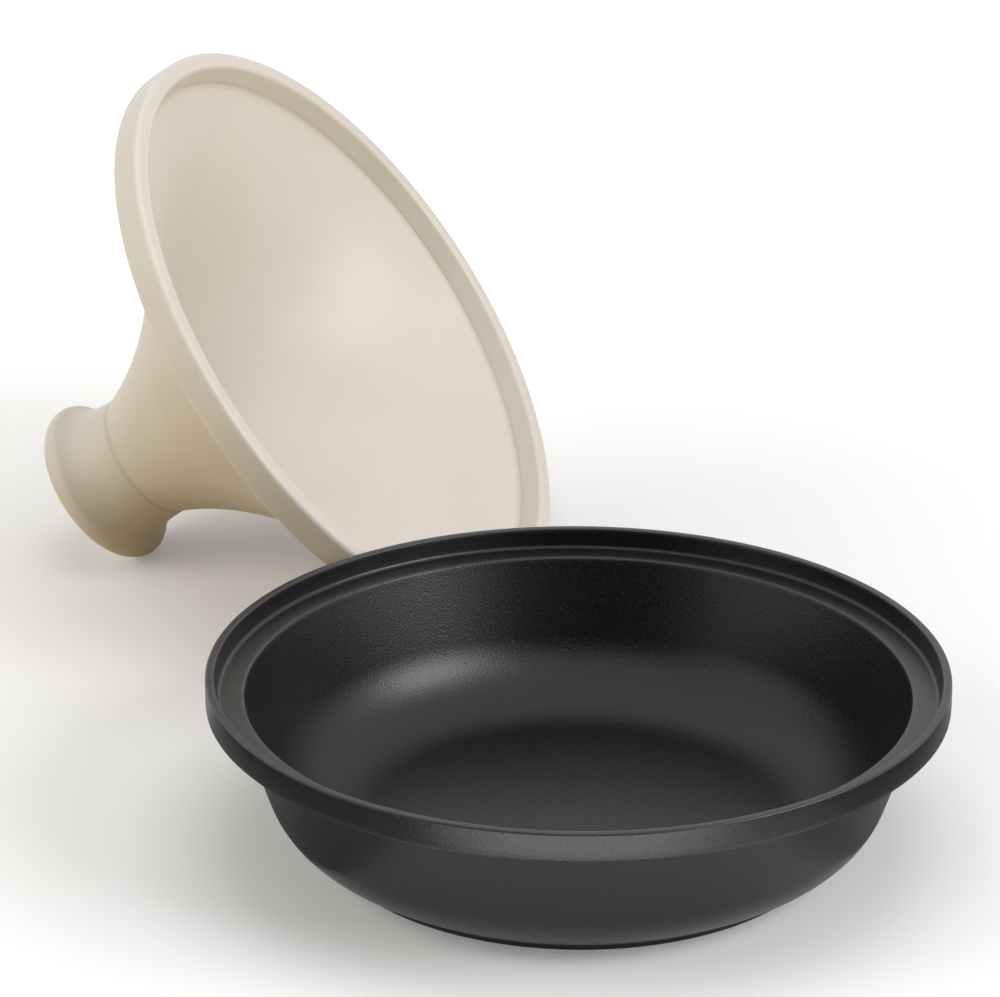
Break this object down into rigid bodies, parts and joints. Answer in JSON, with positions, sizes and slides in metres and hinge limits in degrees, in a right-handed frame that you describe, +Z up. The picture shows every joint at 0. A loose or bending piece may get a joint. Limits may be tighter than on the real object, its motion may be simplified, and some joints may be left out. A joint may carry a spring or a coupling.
{
  "type": "tagine",
  "caption": "Tagine: shallow black cast-iron pan whose stepped rim seats a hollow trumpet-shaped cream ceramic lid with a flared knob; the lid is off and lies on its side behind the pan.",
  "frame": {"origin": "centre of the pan's flat base, on the surface it stands on", "axes": "+Z up along the pan's axis; the camera looks along +Y, so +X is to the right of the picture"},
  "size_m": [0.3913, 0.5552, 0.237],
  "materials": {
    "enamel": "cast iron under matt black enamel with a fine grain",
    "glaze": "glossy cream glaze on fired ceramic"
  },
  "bodies": {
    "pan": {"pan": "enamel"},
    "lid": {"lid": "glaze"}
  },
  "joints": [
    {"name": "lid_lift", "type": "slide", "parent": "pan", "child": "lid", "axis": [0, 0, 1], "range_m": [0, 0.25]}
  ]
}
